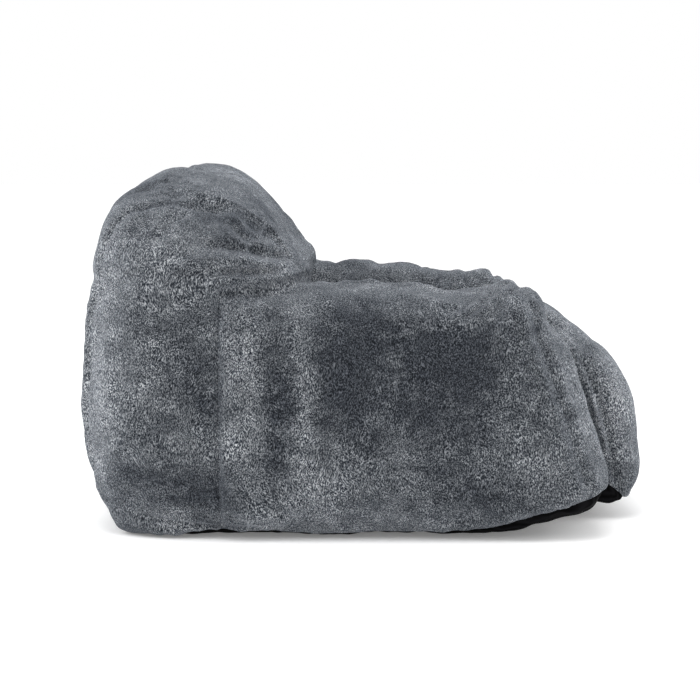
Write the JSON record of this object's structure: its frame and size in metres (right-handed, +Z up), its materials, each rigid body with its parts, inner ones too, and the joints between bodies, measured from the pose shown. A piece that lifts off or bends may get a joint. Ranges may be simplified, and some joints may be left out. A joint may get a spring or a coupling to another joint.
{
  "type": "bean bag chair",
  "caption": "Low armchair of bead-filled plush chambers: a domed backrest, two arms and a seat that bulges forward, on a black base cloth, with a hidden zip at the rear.",
  "frame": {"origin": "on the floor, under the middle of the chair's overall box", "axes": "+Z up; the chair faces -Y, so +Y is its rear; +X is the sitter's left"},
  "size_m": [0.9, 0.9702, 0.62],
  "materials": {
    "plush": "short plush pile, salt-and-pepper blue-grey, brushed both ways",
    "base_cloth": "black woven base cloth, matt",
    "partition_cloth": "dark non-woven partition cloth, matt",
    "liner_cloth": "thin off-white non-woven liner bag",
    "bead_fill": "loose expanded polystyrene beads",
    "zip_tape": "black woven zip tape",
    "zip_teeth": "black nylon coil",
    "zip_metal": "dark plated zinc"
  },
  "bodies": {
    "chair": {"back_panel": "plush", "backrest_panel": "plush", "back_side_panel_left": "plush", "back_side_panel_right": "plush", "back_hem_band": "plush", "arm_outer_panel_left": "plush", "arm_outer_panel_right": "plush", "arm_inner_panel_left": "plush", "arm_inner_panel_right": "plush", "arm_front_panel_left": "plush", "arm_front_panel_right": "plush", "seat_panel": "plush", "arm_partition_left": "partition_cloth", "arm_partition_right": "partition_cloth", "arm_back_partition_left": "partition_cloth", "arm_back_partition_right": "partition_cloth", "seat_back_partition": "partition_cloth", "backrest_liner": "liner_cloth", "seat_liner": "liner_cloth", "arm_liner_left": "liner_cloth", "arm_liner_right": "liner_cloth", "backrest_fill": "bead_fill", "seat_fill": "bead_fill", "arm_fill_left": "bead_fill", "arm_fill_right": "bead_fill", "base_panel": "base_cloth", "zip_tape_upper": "zip_tape", "zip_tape_lower": "zip_tape", "zip_teeth_upper": "zip_teeth", "zip_teeth_lower": "zip_teeth", "zip_stop_closed_end": "zip_metal", "zip_stop_open_end": "zip_metal"},
    "slider": {"zip_slider": "zip_metal"}
  },
  "joints": [
    {"name": "zip_slide", "type": "slide", "parent": "chair", "child": "slider", "axis": [-1, 0, 0], "range_m": [0, 0.545]}
  ]
}
